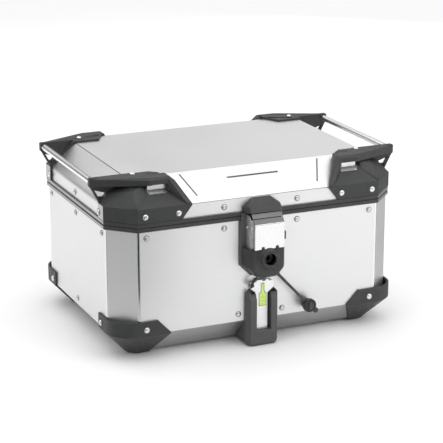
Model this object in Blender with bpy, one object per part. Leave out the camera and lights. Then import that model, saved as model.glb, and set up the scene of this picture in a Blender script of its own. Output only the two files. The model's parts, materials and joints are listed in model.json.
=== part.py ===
"""Riveted aluminium top case for a motorcycle: tub, hinged lid, tube rails, latch, lock and rack release.

All dimensions are in millimetres and are turned into metres when a mesh is made. X is the width, the lock is
on the -Y side, the lid's hinges are on the +Y side, and Z = 0 is the plane of the feet and of the rack face.
"""
import math

import bmesh
import bpy
from mathutils import Matrix, Vector

MM = 0.001
GAP = 0.3                    # clearance between neighbouring pieces

# folded aluminium tub and lid
HALF_W = 272.5               # outer half-width of the walls
HALF_D = 196.2               # outer half-depth of the walls
CORNER_LEG = 43.4            # leg of the 45 degree cut on each vertical corner
SHEET = 1.6                  # sheet thickness
FLOOR_Z = 5.0                # underside of the tub
BEVEL_RISE = 41.7            # height of the bevel round the tub's floor
BEVEL_RUN = 38.8
TUB_TOP = 236.5
LID_LOW = 245.4
LID_CREASE = 273.0           # where the lid's walls turn into its slopes
LID_TOP = 316.7
SLOPE_RUN_END = 43.5
SLOPE_RUN_FRONT = 54.1
SLOPE_RUN_REAR = 44.2
TOP_LEG = 20.0               # corner cut of the lid's flat top

# rim profiles and seal at the seam between tub and lid
RIM_OUT = 3.4                # how far the rims stand proud of the walls
RIM_LEG = 2.8                # thickness of a rim's inner leg
LOWER_RIM = (233.2, 239.8)
SEAL_Z = (240.1, 241.4)
UPPER_RIM = (241.7, 248.7)

# corner pieces
BRACKET_SKIN = 3.8
BRACKET_TOP = 320.5
TIP_X = 293.5                # outermost point of a bracket's wing
WING_V = (129.0, 137.0)      # the wing wall, measured from the centre plane along Y
BAR_X = (163.0, 199.0)       # ends of the bracket's hand grip
BAR_V = (150.0, 177.0)
BAR_LOW = 307.6
GUARD_SKIN = 3.6
GUARD_TOP = 72.0

# tube rails
RAIL_X = 286.5
RAIL_Z = 312.6
RAIL_R = 6.0
RAIL_SOCKET = 7.0            # depth of the socket in each wing

# hinges
HINGE_Y = 205.2
HINGE_Z = 241.0
HINGE_X = 84.0               # centre of each hinge
HINGE_W = 70.0
KNUCKLE_R = 4.4
PIN_R = 2.2

# latch lever
LEVER_Y = -219.5             # pivot of the lever
LEVER_Z = 222.0
LEVER_HALF_W = 28.5
LEVER_SHEET = 2.0
LEVER_FRONT = -233.5

# lock
WALL_Y = -HALF_D
PLATE_Y = -201.6             # front face of the lock's backplate
BODY_Y = -230.0              # front face of the lock body
BODY_TOP = 185.4
BOSS_Y = -241.0
KEY_Z = 169.0
KEY_X = -1.0
KEY_BORE_R = 10.8
KEY_R = 9.2

# dust cap on its rubber strap
STRAP_ROOT = (24.0, -214.0, 133.0)
CAP_CENTRE = (88.0, -214.0, 64.0)
CAP_R = 12.4

# rack release
HOUSING_BASE_HALF_W = 31.0
HOUSING_Y = -213.0
WINDOW_HALF_W = 14.0
WINDOW_BACK = -199.0
WINDOW_LOW = 29.5
SLIDER_Y = -205.5            # front face of the slider in its window


def clear_scene():
    for item in list(bpy.data.objects):
        bpy.data.objects.remove(item, do_unlink=True)


# ---------------------------------------------------------------- mesh helpers

def solid(bm):
    """Turns a closed bmesh in millimetres into an object in metres."""
    bmesh.ops.recalc_face_normals(bm, faces=bm.faces)
    bmesh.ops.scale(bm, vec=(MM, MM, MM), verts=bm.verts)
    mesh = bpy.data.meshes.new("solid")
    bm.to_mesh(mesh)
    bm.free()
    item = bpy.data.objects.new("solid", mesh)
    bpy.context.collection.objects.link(item)
    return item


def loft(rings, cyclic=False):
    """Skins rings of equal length; the ends are capped unless the last ring joins the first."""
    bm = bmesh.new()
    rows = [[bm.verts.new(point) for point in ring] for ring in rings]
    pairs = list(zip(rows, rows[1:]))
    if cyclic:
        pairs.append((rows[-1], rows[0]))
    count = len(rows[0])
    for row, following in pairs:
        for i in range(count):
            j = (i + 1) % count
            bm.faces.new((row[i], row[j], following[j], following[i]))
    if not cyclic:
        bm.faces.new(rows[0])
        bm.faces.new(rows[-1])
    return solid(bm)


def place(axis, along, across, up):
    """A point of an extrusion: along its axis, then its two section coordinates."""
    return Vector({"x": (along, across, up), "y": (across, along, up), "z": (across, up, along)}[axis])


def prism(axis, section, low, high):
    """Extrudes a section: (y, z) along x, (x, z) along y or (x, y) along z."""
    return loft([[place(axis, end, a, b) for a, b in section] for end in (low, high)])


def block(x, y, z):
    return prism("z", [(x[0], y[0]), (x[1], y[0]), (x[1], y[1]), (x[0], y[1])], z[0], z[1])


def circle(radius, sides):
    turns = [2 * math.pi * (i + 0.5) / sides for i in range(sides)]
    return [(radius * math.cos(turn), radius * math.sin(turn)) for turn in turns]


def turned(axis, centre, profile, sides=16, open_middle=False):
    """A turned piece: profile is (radius, position along the axis), centre its two other coordinates.

    With an open middle the profile is a closed loop that doesn't touch the axis.
    """
    rings = []
    for radius, along in profile:
        rings.append([place(axis, along, centre[0] + a, centre[1] + b) for a, b in circle(radius, sides)])
    return loft(rings, cyclic=open_middle)


def hull(points):
    bm = bmesh.new()
    for point in points:
        bm.verts.new(point)
    result = bmesh.ops.convex_hull(bm, input=bm.verts)
    spare = [item for item in result["geom_interior"] if isinstance(item, bmesh.types.BMVert)]
    bmesh.ops.delete(bm, geom=list(set(spare)), context="VERTS")
    bmesh.ops.dissolve_limit(bm, angle_limit=0.002, verts=bm.verts, edges=bm.edges)
    return solid(bm)


def boolean(target, tool, operation):
    """Applies one exact boolean and removes the tool."""
    modifier = target.modifiers.new(operation, "BOOLEAN")
    modifier.operation = operation
    modifier.solver = "EXACT"
    modifier.object = tool
    graph = bpy.context.evaluated_depsgraph_get()
    mesh = bpy.data.meshes.new_from_object(target.evaluated_get(graph))
    target.modifiers.clear()
    target.data = mesh
    bpy.data.objects.remove(tool, do_unlink=True)
    return target


def join(target, *tools):
    for tool in tools:
        boolean(target, tool, "UNION")
    return target


def cut(target, *tools):
    for tool in tools:
        boolean(target, tool, "DIFFERENCE")
    return target


def keep(target, *tools):
    for tool in tools:
        boolean(target, tool, "INTERSECT")
    return target


# ---------------------------------------------------------------- materials and naming

LOOKS = {
    "panel": ((0.78, 0.79, 0.80), 0.35, 1.0),
    "moulding": ((0.075, 0.078, 0.082), 0.55, 0.0),
    "rim": ((0.11, 0.115, 0.12), 0.50, 0.0),
    "rubber": ((0.02, 0.02, 0.022), 0.75, 0.0),
    "rail": ((0.86, 0.87, 0.88), 0.18, 1.0),
    "plated": ((0.80, 0.81, 0.82), 0.25, 1.0),
    "steel": ((0.52, 0.53, 0.55), 0.35, 1.0),
    "lime": ((0.62, 0.80, 0.12), 0.30, 0.0),
}


def principled(name, look):
    """One Principled material of its own for a piece."""
    color, roughness, metallic = LOOKS[look]
    material = bpy.data.materials.new(name)
    material.use_nodes = True
    shader = material.node_tree.nodes["Principled BSDF"]
    shader.inputs["Base Color"].default_value = (*color, 1.0)
    shader.inputs["Roughness"].default_value = roughness
    shader.inputs["Metallic"].default_value = metallic
    return material


def name_part(item, name, look, pivot=None):
    """Names a finished piece, gives it a material and, on a moving body, hangs it on the body's empty."""
    bm = bmesh.new()
    bm.from_mesh(item.data)
    bmesh.ops.dissolve_degenerate(bm, dist=1e-6, edges=bm.edges)
    bmesh.ops.remove_doubles(bm, verts=bm.verts, dist=1e-6)
    bm.to_mesh(item.data)
    bm.free()
    item.name = name
    item.data.name = name
    item.data.materials.clear()
    item.data.materials.append(principled(name, look))
    if pivot is not None:
        item.data.transform(Matrix.Translation(-pivot.location))
        item.parent = pivot
    item.data.shade_smooth()
    item.data.set_sharp_from_angle(angle=math.radians(30))
    return item


def pivot_empty(name, position):
    """An empty on a joint's axis; the pieces of the moving body hang on it."""
    empty = bpy.data.objects.new(name, None)
    empty.location = Vector(position) * MM
    bpy.context.collection.objects.link(empty)
    return empty


# ---------------------------------------------------------------- outlines of tub and lid

def octagon(half_w, front, rear, leg, z):
    """Rectangle with cut corners, counter-clockwise from above."""
    outline = (
        (half_w, front + leg), (half_w, rear - leg), (half_w - leg, rear), (leg - half_w, rear),
        (-half_w, rear - leg), (-half_w, front + leg), (leg - half_w, front), (half_w - leg, front),
    )
    return [Vector((x, y, z)) for x, y in outline]


def wall_ring(offset, z):
    """The wall's outline moved outward by offset; a parallel 45 degree corner grows by 2 - sqrt(2)."""
    leg = CORNER_LEG + offset * (2 - math.sqrt(2))
    return octagon(HALF_W + offset, -HALF_D - offset, HALF_D + offset, leg, z)


def mitre(run, rise):
    """Shifts, per unit of offset, of a slope's edge on the wall (in z) and on the flat (inward)."""
    length = math.hypot(run, rise)
    return (1 - rise / length) / (run / length), (1 - run / length) / (rise / length)


def tub_rings(offset, high):
    """The tub's outer shape moved outward by offset: floor, bevel crease and top."""
    on_wall, on_floor = mitre(BEVEL_RUN, BEVEL_RISE)
    inset = BEVEL_RUN - offset * on_floor
    floor = wall_ring(-inset, FLOOR_Z - offset)
    crease = wall_ring(offset, FLOOR_Z + BEVEL_RISE - offset * on_wall)
    return [floor, crease, wall_ring(offset, high)]


def lid_rings(offset, low):
    """The lid's outer shape moved outward by offset: bottom, crease and flat top."""
    rise = LID_TOP - LID_CREASE
    on_wall, on_end = mitre(SLOPE_RUN_END, rise)
    on_front = mitre(SLOPE_RUN_FRONT, rise)[1]
    on_rear = mitre(SLOPE_RUN_REAR, rise)[1]
    top = octagon(
        HALF_W - SLOPE_RUN_END + offset * on_end,
        -HALF_D + SLOPE_RUN_FRONT - offset * on_front,
        HALF_D - SLOPE_RUN_REAR + offset * on_rear,
        TOP_LEG + offset * on_end,
        LID_TOP + offset,
    )
    return [wall_ring(offset, low), wall_ring(offset, LID_CREASE + offset * on_wall), top]


def rounded(ring):
    """The outline with its cut corners turned into quarter circles that meet the same walls."""
    points = []
    for i in (1, 3, 5, 7):
        first, last = ring[i], ring[(i + 1) % 8]
        corners = Vector((first.x, last.y, first.z)), Vector((last.x, first.y, first.z))
        centre = min(corners, key=lambda corner: corner.length)
        for k in range(9):
            turn = math.pi / 2 * k / 8
            points.append(centre + (first - centre) * math.cos(turn) + (last - centre) * math.sin(turn))
    return points


def band(section):
    """A profile that runs round the case: section is a closed loop of (offset from the wall, z)."""
    return loft([wall_ring(offset, z) for offset, z in section], cyclic=True)


# ---------------------------------------------------------------- tub

def make_tub():
    outer = tub_rings(0.0, TUB_TOP)
    inner = tub_rings(-SHEET, TUB_TOP)
    name_part(loft(outer + inner[::-1]), "lower_shell", "panel")

    low, high = LOWER_RIM
    inside = -SHEET - GAP
    section = [
        (RIM_OUT, low), (RIM_OUT, high), (inside - RIM_LEG, high), (inside - RIM_LEG, low - 5),
        (inside, low - 5), (inside, TUB_TOP + GAP), (GAP, TUB_TOP + GAP), (GAP, low),
    ]
    name_part(band(section), "lower_rim", "rim")

    low, high = SEAL_Z
    name_part(band([(1.6, low), (1.6, high), (-4.0, high), (-4.0, low)]), "rim_seal", "rubber")


def make_base_plate():
    """Moulded plate under the floor: rack face, two hook slots and the notch for the catch."""
    outline = [
        (-118, -100), (-104, -114), (104, -114), (118, -100),
        (118, 104), (104, 118), (-104, 118), (-118, 104),
    ]
    plate = prism("z", outline, 0.0, FLOOR_Z - GAP)
    for x in (-72, 72):
        cut(plate, block((x - 22, x + 22), (70, 86), (-1, FLOOR_Z + 1)))
    cut(plate, block((-13, 13), (-120, -86), (-1, FLOOR_Z + 1)))
    name_part(plate, "base_plate", "moulding")


def make_guards():
    """Moulded guard on each lower corner, which is also a foot; it runs round the cut corner, clear of the sheet."""
    outside = [rounded(ring) for ring in tub_rings(GUARD_SKIN, GUARD_TOP)]
    inside = [rounded(ring) for ring in tub_rings(GAP, GUARD_TOP + 5)]
    for x_name, sx in (("left", -1), ("right", 1)):
        for y_name, sy in (("front", -1), ("rear", 1)):
            guard = loft(outside)
            keep(guard, prism("y", [(sx * 171, 47), (sx * 196, GUARD_TOP + 1), (sx * 300, GUARD_TOP + 1),
                                    (sx * 300, -1), (sx * 199, -1)], sy * 100, sy * 230))
            keep(guard, prism("x", [(sy * 118, GUARD_TOP + 1), (sy * 118, 53), (sy * 140, 6), (sy * 140, -1),
                                    (sy * 230, -1), (sy * 230, GUARD_TOP + 1)], sx * 100, sx * 320))
            join(guard, hull([Vector((sx * x, sy * y, z)) for x, y, z in (
                (202, 141, 0), (227, 137, 0), (230, 143, 0), (217, 157, 0), (203, 156, 0),
                (200, 139, 4), (233, 135, 6), (237, 142, 6), (218, 163, 6), (200, 160, 6))]))
            cut(guard, loft(inside))
            name_part(guard, f"corner_guard_{y_name}_{x_name}", "moulding")


# ---------------------------------------------------------------- lid

def make_lid(pivot):
    outer = lid_rings(0.0, LID_LOW)
    inner = lid_rings(-SHEET, LID_LOW)
    name_part(loft(outer[::-1] + inner), "lid_shell", "panel", pivot)

    low, high = UPPER_RIM
    inside = -SHEET - GAP
    section = [
        (RIM_OUT, low), (RIM_OUT, high), (GAP, high), (GAP, LID_LOW - GAP),
        (inside, LID_LOW - GAP), (inside, high + 5), (inside - RIM_LEG, high + 5), (inside - RIM_LEG, low),
    ]
    name_part(band(section), "upper_rim", "rim", pivot)


def bracket(sx, sy):
    """Moulded bracket on an upper corner: skin over the corner, hand grip bar, and a wing for the rail."""
    front = sy < 0
    run = SLOPE_RUN_FRONT if front else SLOPE_RUN_REAR
    rise = LID_TOP - LID_CREASE
    length = math.hypot(run, rise)
    edge = HALF_D - run
    inner = 131.0 if front else 118.0
    top = BRACKET_TOP
    grip_in, grip_out = BAR_X
    rear, face = BAR_V

    def corners(triples):
        return [Vector((sx * x, sy * v, z)) for x, v, z in triples]

    def on_slope(x, v, lift):
        return x, v, LID_CREASE + rise * (HALF_D - v) / run + lift

    def section(x):
        return [(x, rear, top), (x, face - 4, top), (x, face, top - 4), (x, face, BAR_LOW),
                (x, face - 6, BAR_LOW), (x, rear, top - 5)]

    skin = loft(lid_rings(BRACKET_SKIN, UPPER_RIM[1] + GAP))
    plan = [(130.4, 230), (130.4, 200), (162, 152), (166, 148 if front else 153), (184, inner),
            (228, inner), (250, 129), (310, 129), (310, 230)]
    keep(skin, prism("z", [(sx * x, sy * v) for x, v in plan], 200, 340))
    cut(skin, prism("y", [(sx * 120, 240), (sx * 149.2, UPPER_RIM[1]), (sx * 130, 273.5), (sx * 110, 273.5)],
                    sy * 190, sy * 210))

    bar = hull(corners(section(grip_in) + section(grip_out)))
    rib = hull(corners([(162, 151, top), (162, 172, top), (168, 172, top), (165, face, top - 4),
                        (168, face, BAR_LOW), (152, 173, 312), (131, 199.5, 275.5), (140, 200, 276.5),
                        (150, 190, 270),
                        (166, 168, 292), (160, 150, 305)]))
    arm = hull(corners(section(grip_out) + [
        (190, 134, top), (192, 134, 305), (TIP_X - 1.5, WING_V[0], top), (TIP_X, WING_V[1], top - 1.5),
        (TIP_X, WING_V[1], 305.7), (TIP_X - 1.5, WING_V[0], 305.7)]))
    ledge = hull(corners([
        (230.6, 199.6, 276), on_slope(229.5, 175, 10.4), on_slope(207, 177, 5.2), (207, 165, 307),
        (229, 150, 308), (263, WING_V[1], 293), (263, WING_V[0], 293), (276.3, 152.6, 274),
        (276, WING_V[1], 279.5), (230, 150, 290)]))
    wall = prism("y", [(sx * x, z) for x, z in (
        (212, top), (TIP_X - 1.5, top), (TIP_X, top - 1.5), (TIP_X, 305.7), (290.5, 303.0), (276.6, 276.5),
        (275.5, 268), (262, 268), (212, 305))], sy * WING_V[0], sy * WING_V[1])
    join(skin, bar, rib, arm, ledge, wall)

    normal = Vector((rise, run)) / length
    slot = []
    for x, v in ((166, 175.5), (200, 175.5), (206, 166), (166, 150)):
        for lift in (-4.0, 3.0):
            base = on_slope(x, v, 0)
            slot.append((x, v + normal[0] * lift, base[2] + normal[1] * lift))
    cut(skin, hull(corners(slot + [(166, 182, BAR_LOW - 0.2), (200, 182, BAR_LOW - 0.2)])))
    hole = ((262.5, 292), (284.5, 299.0), (274.6, 280.5), (269, 284.5))
    cut(skin, prism("y", [(sx * x, z) for x, z in hole], sy * 100, sy * 160))
    cut(skin, loft(lid_rings(GAP, 200)))
    socket = turned("y", (sx * RAIL_X, RAIL_Z), [(RAIL_R + GAP, sy * (WING_V[0] - 2)),
                                                 (RAIL_R + GAP, sy * (WING_V[0] + RAIL_SOCKET + GAP))])
    return cut(skin, socket)


def make_brackets(pivot):
    for x_name, sx in (("left", -1), ("right", 1)):
        for y_name, sy in (("front", -1), ("rear", 1)):
            name_part(bracket(sx, sy), f"bracket_{y_name}_{x_name}", "moulding", pivot)
        end = WING_V[0] + RAIL_SOCKET
        rail = turned("y", (sx * RAIL_X, RAIL_Z), [(RAIL_R, -end), (RAIL_R, end)])
        name_part(rail, f"rail_{x_name}", "rail", pivot)


def make_striker(pivot):
    """Moulded cover on the lid over the latch, with the steel striker under it."""
    low = UPPER_RIM[1] + GAP
    rear = WALL_Y - GAP
    cover = hull([Vector((s * x, y, z)) for s in (-1, 1) for x, y, z in (
        (16.5, rear, 272), (36.5, rear, 257), (36.5, rear, low), (15.5, rear - 5, 270.5),
        (35.5, rear - 5, 256), (29, -213, 260), (15.5, -208, 267), (34.5, -212, low), (29, -220, low))])
    cut(cover, hull([Vector((s * x, y, z)) for s in (-1, 1) for x, y, z in (
        (27, -199.5, 240), (27, -217, 240), (27, -217, 250), (23, -211.0, 257.5), (23, -199.5, 260))]))
    name_part(cover, "striker_cover", "moulding", pivot)
    plate = prism("x", [(-199.8, low), (-199.8, 259), (-201.8, 259), (-201.8, low + 2), (-209, low + 2),
                        (-209, 243.5), (-207, 243.5), (-207, low)], -11, 11)
    name_part(plate, "striker_plate", "steel", pivot)


# ---------------------------------------------------------------- hinges

def knuckles(spans):
    """Barrel lengths on the hinge axis."""
    return [turned("x", (HINGE_Y, HINGE_Z), [(KNUCKLE_R, low), (KNUCKLE_R, high)], 12) for low, high in spans]


def make_hinges(pivot):
    for name, centre in (("left", -HINGE_X), ("right", HINGE_X)):
        low = centre - HINGE_W / 2
        high = centre + HINGE_W / 2
        third = HINGE_W / 3
        face = HALF_D + GAP
        rim_face = HALF_D + RIM_OUT + GAP
        lower = prism("x", [(face, 198), (face + 2, 196), (face + 2, 225), (rim_face + 2.4, 230),
                            (rim_face + 2.4, HINGE_Z - 3), (rim_face, HINGE_Z - 3), (rim_face, 232),
                            (face, 228)], low, high)
        join(lower, *knuckles([(low, low + third - 0.3), (high - third + 0.3, high)]))
        middle = block((low + third - 0.3, high - third + 0.3), (rim_face - 1, HINGE_Y + 6),
                       (HINGE_Z - KNUCKLE_R - 1, HINGE_Z + 6))
        cut(lower, middle)
        cut(lower, turned("x", (HINGE_Y, HINGE_Z), [(PIN_R + GAP, low - 2), (PIN_R + GAP, high + 2)], 12))
        name_part(lower, f"hinge_lower_leaf_{name}", "steel")

        upper = prism("x", [(face, 266), (face + 2, 268), (face + 2, 256), (rim_face + 2.4, 251.5),
                            (rim_face + 2.4, HINGE_Z + 3), (rim_face, HINGE_Z + 3), (rim_face, 250),
                            (face, 254)], low, high)
        cut(upper, block((low - 1, low + third), (rim_face - 1, HINGE_Y + 6),
                         (HINGE_Z, HINGE_Z + KNUCKLE_R + 1)))
        cut(upper, block((high - third, high + 1), (rim_face - 1, HINGE_Y + 6),
                         (HINGE_Z, HINGE_Z + KNUCKLE_R + 1)))
        join(upper, *knuckles([(low + third, high - third)]))
        cut(upper, turned("x", (HINGE_Y, HINGE_Z), [(PIN_R + GAP, low - 2), (PIN_R + GAP, high + 2)], 12))
        name_part(upper, f"hinge_upper_leaf_{name}", "steel", pivot)

        pin = turned("x", (HINGE_Y, HINGE_Z), [(PIN_R, low - 1.5), (PIN_R, high + 1.5)], 12)
        name_part(pin, f"hinge_pin_{name}", "steel")


# ---------------------------------------------------------------- lock and latch

def mirrored(half):
    """Closes a symmetric (x, z) section from its right half, given from top to bottom."""
    return half + [(-x, z) for x, z in reversed(half)]


def make_lock():
    rear = WALL_Y - GAP
    plate = loft([[Vector((x, y, z)) for x, z in mirrored(half)] for y, half in (
        (rear, [(43, 232.5), (43, 152), (20, 129)]),
        (PLATE_Y, [(40, 232.5), (40, 153), (18, 131)]))])
    join(plate, prism("y", mirrored([(37, 247.5), (40, 244), (40, 225)]), PLATE_Y, rear - RIM_OUT))
    name_part(plate, "lock_backplate", "moulding")

    body_rear = PLATE_Y - GAP
    body = loft([[Vector((x, y, z)) for x, z in mirrored(half)] for y, half in (
        (body_rear, [(39, BODY_TOP), (39, 154), (19, 133)]),
        (-212, [(38, BODY_TOP), (38, 152), (18, 131)]),
        (BODY_Y, [(30, BODY_TOP), (30, 147), (16, 133)]))])
    boss = turned("y", (KEY_X, KEY_Z), [(21.0, -226), (20.5, BODY_Y - 0.5), (16.0, BODY_Y - 4),
                                        (15.2, BOSS_Y + 1), (14.4, BOSS_Y)], 24)
    join(body, boss)
    cut(body, block((-40, 40), (-250, -190), (BODY_TOP, 200)))
    cut(body, turned("y", (KEY_X, KEY_Z), [(KEY_BORE_R, -250), (KEY_BORE_R, -190)], 20))
    cut(body, turned("y", (KEY_X, KEY_Z), [(12.6, -250), (12.6, BOSS_Y + 2.5)], 20))
    cut(body, block((-4.5, 4.5), (-218.5, -209.5), (120, 145)))
    name_part(body, "lock_body", "moulding")

    bezel = turned("y", (KEY_X, KEY_Z), [(12.3, BOSS_Y + 2.2), (12.3, BOSS_Y - 0.8), (11.6, BOSS_Y - 1.4),
                                         (10.6, BOSS_Y - 1.0), (10.6, BOSS_Y + 2.2)], 20, open_middle=True)
    name_part(bezel, "cylinder_bezel", "rubber")

    ear = [(body_rear, 200), (body_rear - 2, 200), (body_rear - 2, 208), (-219.5, 213), (-226, 216),
           (-228, 222), (-226, 227.5), (-219.5, 230), (-208, 225.5), (body_rear, 224)]
    mount = prism("x", [(body_rear, 192), (body_rear - 2, 192), (body_rear - 2, 212), (body_rear, 212)],
                  -25, 25)
    for sx in (-1, 1):
        join(mount, prism("x", ear, sx * 22.5, sx * 26.0))
    cut(mount, turned("x", (LEVER_Y, LEVER_Z), [(3.0 + GAP, -40), (3.0 + GAP, 40)], 12))
    name_part(mount, "lever_bracket", "steel")

    inner = block((-32, 32), (WALL_Y + SHEET + GAP, WALL_Y + SHEET + GAP + 1.5), (140, 222))
    name_part(inner, "lock_inner_plate", "steel")


def make_latch(pivot):
    """Folded steel lever: front plate, slanted top and two side walls."""
    rest = 186.0
    front = LEVER_FRONT
    outer = [(front, rest), (front, 232), (-225.6, 240.2), (-223.8, 238.8), (-205, 231), (-205, 200),
             (-218.5, rest)]
    lever = prism("x", outer, -LEVER_HALF_W, LEVER_HALF_W)
    inner = LEVER_HALF_W - LEVER_SHEET
    t = LEVER_SHEET
    cut(lever, prism("x", [(front + t, rest - 5), (front + t, 231.2), (-226.1, 236.6), (-218, 244.9),
                           (-190, 245), (-190, rest - 5)], -inner, inner))
    for x in (-13, 13):
        cut(lever, block((x - 3, x + 3), (front - 5, front + 5), (rest - 5, rest + 5)))
    for sx in (-1, 1):
        hole = turned("x", (LEVER_Y, LEVER_Z), [(3.0 + GAP, sx * 20), (3.0 + GAP, sx * 40)], 12)
        cut(lever, hole)
    name_part(lever, "latch_lever", "plated", pivot)

    claw = prism("x", [(front + t + GAP, 212), (front + t + GAP, 229.5), (-226.0, 235.9), (-223.4, 238.6),
                       (-221.4, 239.6), (-219.4, 238.4), (-224.0, 233.2), (-229, 225), (-229, 212)], -9, 9)
    name_part(claw, "latch_claw", "steel", pivot)

    tab = prism("x", [(-229, 199), (-229, 214), (-223, 214), (-223, 199)],
                LEVER_HALF_W + GAP, LEVER_HALF_W + 3.5)
    name_part(tab, "lever_side_tab", "rubber", pivot)

    for name, sx in (("left", -1), ("right", 1)):
        pin = turned("x", (LEVER_Y, LEVER_Z), [(3.0, sx * 21.5), (3.0, sx * 28.8), (4.4, sx * 28.9),
                                               (4.2, sx * 29.8), (2.5, sx * 30.6)], 12)
        name_part(pin, f"lever_pin_{name}", "plated")


def make_key(pivot):
    """Cylinder barrel with its key slot, and the cam on its inner end."""
    face = BOSS_Y + 7
    barrel = turned("y", (KEY_X, KEY_Z), [(KEY_R - 1, face), (KEY_R, face + 1), (KEY_R, -210)], 20)
    cut(barrel, block((KEY_X - 1.2, KEY_X + 1.2), (face - 2, face + 14), (KEY_Z - 5, KEY_Z + 5)))
    name_part(barrel, "key_cylinder", "steel", pivot)
    cam = prism("y", [(KEY_X - 5, KEY_Z + 5), (KEY_X - 5, KEY_Z - 5), (KEY_X + 5, KEY_Z - 5),
                      (KEY_X + 8.5, KEY_Z - 2), (KEY_X + 8.5, KEY_Z + 2), (KEY_X + 5, KEY_Z + 5)],
                -209.7, -206.5)
    name_part(cam, "lock_cam", "steel", pivot)


def make_dust_cap(pivot):
    """Rubber strap and the cap that plugs the key hole."""
    root = Vector(STRAP_ROOT)
    end = Vector(CAP_CENTRE)
    run = (end - root).normalized()
    side = Vector((-run.z, 0, run.x))
    rings = []
    for share, half_w, half_t in ((0.0, 4.0, 2.2), (0.07, 2.6, 1.5), (0.5, 2.4, 1.3), (0.86, 2.6, 1.5)):
        middle = root.lerp(end, share)
        rings.append([middle + side * (half_w * a) + Vector((0, half_t * b, 0)) for a, b in (
            (-1, -0.5), (-0.6, -1), (0.6, -1), (1, -0.5), (1, 0.5), (0.6, 1), (-0.6, 1), (-1, 0.5))])
    strap = loft(rings)
    name_part(strap, "cap_strap", "rubber", pivot)

    x, y, z = CAP_CENTRE
    cap = turned("y", (x, z), [(CAP_R - 1.5, y - 4.5), (CAP_R, y - 3.2), (CAP_R, y + 2), (9.8, y + 2.4)], 20)
    plug = []
    for radius, shift, along in ((9.6, 0.0, y + 1.5), (9.6, -8.0, y + 11.5), (8.6, -8.8, y + 12.5)):
        plug.append([Vector((x + shift + a, along, z + b)) for a, b in circle(radius, 20)])
    join(cap, loft(plug))
    join(cap, turned("y", (x + 11.5, z - 10), [(4.2, y - 3.2), (4.8, y - 2.6), (4.8, y + 0.6),
                                               (4.2, y + 1.2)], 12))
    tip = root.lerp(end, 0.80)
    cut(cap, hull([tip + side * (4 * a) + run * b + Vector((0, 2.2 * c, 0))
                   for a in (-1, 1) for b in (-2, 6.3) for c in (-1, 1)]))
    name_part(cap, "dust_cap", "rubber", pivot)


def make_strap_anchor():
    """Short rubber tail of the strap's clip, which shows on the other side below the lock."""
    front = WALL_Y - 14.0
    sections = []
    for x, z, half in ((-15.5, 128.6, 3.5), (-19.0, 122.5, 3.4), (-23.0, 117.5, 3.6), (-22.0, 111.0, 3.4)):
        sections.append([Vector((x + a * half, front + b, z + a * half * 0.5)) for a, b in (
            (-1, -1.5), (1, -1.5), (1, 1.5), (-1, 1.5))])
    name_part(loft(sections), "strap_anchor", "rubber")


# ---------------------------------------------------------------- rack release

def make_release(slider_pivot, catch_pivot):
    rear = WALL_Y - GAP
    crease = FLOOR_Z + BEVEL_RISE
    floor_y = -HALF_D + BEVEL_RUN
    side = [(rear, 106), (-207, 106), (-210, 92), (HOUSING_Y, 87), (HOUSING_Y, 6), (HOUSING_Y + 5, 0.4),
            (-126, 0.4), (-126, FLOOR_Z - GAP), (floor_y, FLOOR_Z - GAP), (rear, crease)]
    housing = prism("x", side, -HOUSING_BASE_HALF_W, HOUSING_BASE_HALF_W)
    keep(housing, prism("y", mirrored([(20, 107), (30.5, 95), (31, 87), (31, 8), (27, 0)]), -230, -100))
    for sx in (-1, 1):
        cut(housing, prism("z", [(sx * 25.5, HOUSING_Y - 3), (sx * 25.5, HOUSING_Y), (sx * 31.5, -200),
                                 (sx * 40, -200), (sx * 40, HOUSING_Y - 3)], -1, 120))
    cut(housing, block((-WINDOW_HALF_W, WINDOW_HALF_W), (-230, WINDOW_BACK), (WINDOW_LOW, 120)))
    cut(housing, block((-24, 24), (-230, WINDOW_BACK), (97, 120)))
    cut(housing, block((-12.5, 12.5), (-199.5, -100), (1.4, FLOOR_Z - GAP + 1)))
    cut(housing, loft(tub_rings(GAP, 150)))
    name_part(housing, "release_housing", "moulding")

    rear = WINDOW_BACK - GAP
    half = WINDOW_HALF_W - 0.5
    slider = prism("y", mirrored([(16, 121.5), (22, 118), (22.5, 106), (half, 98.5),
                                  (half, WINDOW_LOW + GAP)]), SLIDER_Y, rear)
    recess = mirrored([(3.6, 115.5), (3.6, 101.5), (8.8, 98), (8.8, 73)])
    cut(slider, prism("y", recess, SLIDER_Y - 1, SLIDER_Y + 1.4))
    name_part(slider, "release_slider", "plated", slider_pivot)

    bottle = mirrored([(3.3, 115.2), (3.3, 101.4), (8.5, 97.8), (8.5, 73.3)])
    name_part(prism("y", bottle, SLIDER_Y + 0.2, SLIDER_Y + 1.4 - GAP), "slider_insert", "lime", slider_pivot)

    catch = block((-12, 12), (-150, -92), (1.7, 4.4))
    cut(catch, prism("x", [(-96, 1), (-91, 1), (-91, 4)], -14, 14))
    name_part(catch, "rack_catch", "steel", catch_pivot)


# ---------------------------------------------------------------- fasteners

def screw(axis, sign, centre, seat, radius=5.0, height=2.6):
    """Domed screw head standing on a face: axis and sign say which way the face looks."""
    shape = [(radius, seat + sign * GAP)]
    for share, lift in ((1.0, 0.35), (0.80, 0.78), (0.42, 1.0)):
        shape.append((radius * share, seat + sign * (GAP + height * lift)))
    return turned(axis, centre, shape, 12)


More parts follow.
